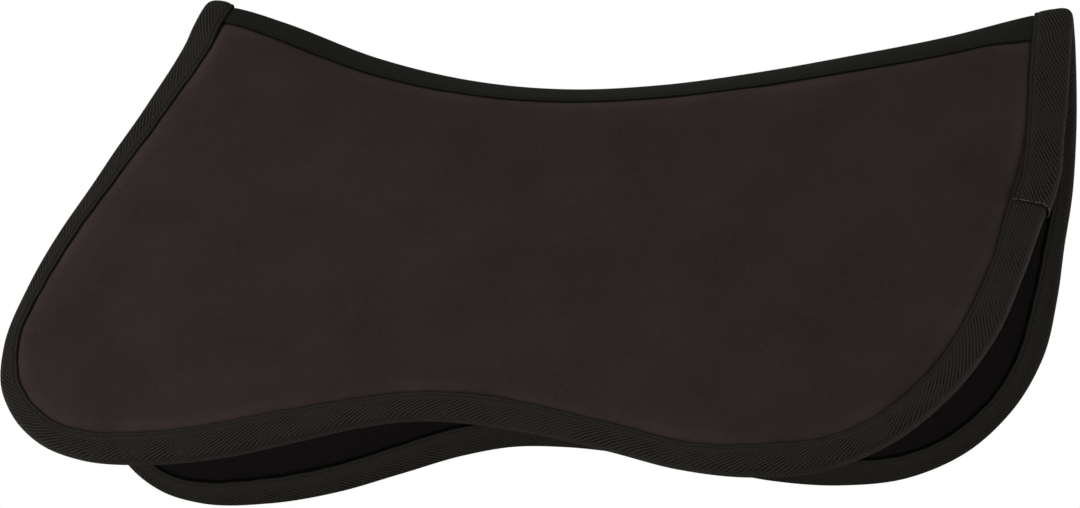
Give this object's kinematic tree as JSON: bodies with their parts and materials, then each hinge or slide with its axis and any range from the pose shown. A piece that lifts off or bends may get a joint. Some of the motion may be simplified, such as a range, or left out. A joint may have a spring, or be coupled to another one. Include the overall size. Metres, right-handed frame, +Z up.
{
  "type": "half pad",
  "caption": "Thin foam half pad that lies between saddle and horse: two shaped wings with a faced top, dark lining and taped edges, joined along a curved spine seam.",
  "frame": {"origin": "on the underside of the under spine tape at the lowest place of the seam, where the horse's back carries the pad", "axes": "+X from the front arch to the rear arch, -Y the left wing, +Z up"},
  "size_m": [0.6753, 0.3982, 0.3378],
  "materials": {
    "cover": "dark brown microfibre suede, matt",
    "foam": "closed-cell foam, matt",
    "lining": "black knitted lining, matt",
    "binding": "black herringbone tape",
    "spine": "black herringbone tape"
  },
  "bodies": {
    "spine": {"spine_tape_upper": "spine", "spine_tape_under": "spine", "binding_front_arch": "binding", "binding_rear_arch": "binding", "cover_ridge_left": "cover", "foam_ridge_left": "foam", "lining_ridge_left": "lining", "cover_ridge_right": "cover", "foam_ridge_right": "foam", "lining_ridge_right": "lining"},
    "left_wing": {"cover_wing_left": "cover", "foam_wing_left": "foam", "lining_wing_left": "lining", "binding_wing_left": "binding", "binding_overlap_left": "binding"},
    "right_wing": {"cover_wing_right": "cover", "foam_wing_right": "foam", "lining_wing_right": "lining", "binding_wing_right": "binding"}
  },
  "joints": [
    {"name": "left_wing_fold", "type": "hinge", "parent": "spine", "child": "left_wing", "pos_m": [0, -0.048, -0.0387], "axis": [-1, 0, 0], "range_deg": [-34, 50], "stiffness_Nm_per_rad": 2.5, "springref_deg": 3.78},
    {"name": "right_wing_fold", "type": "hinge", "parent": "spine", "child": "right_wing", "pos_m": [0, 0.048, -0.0387], "axis": [1, 0, 0], "range_deg": [-26, 50], "stiffness_Nm_per_rad": 2.5, "springref_deg": 3.72}
  ]
}
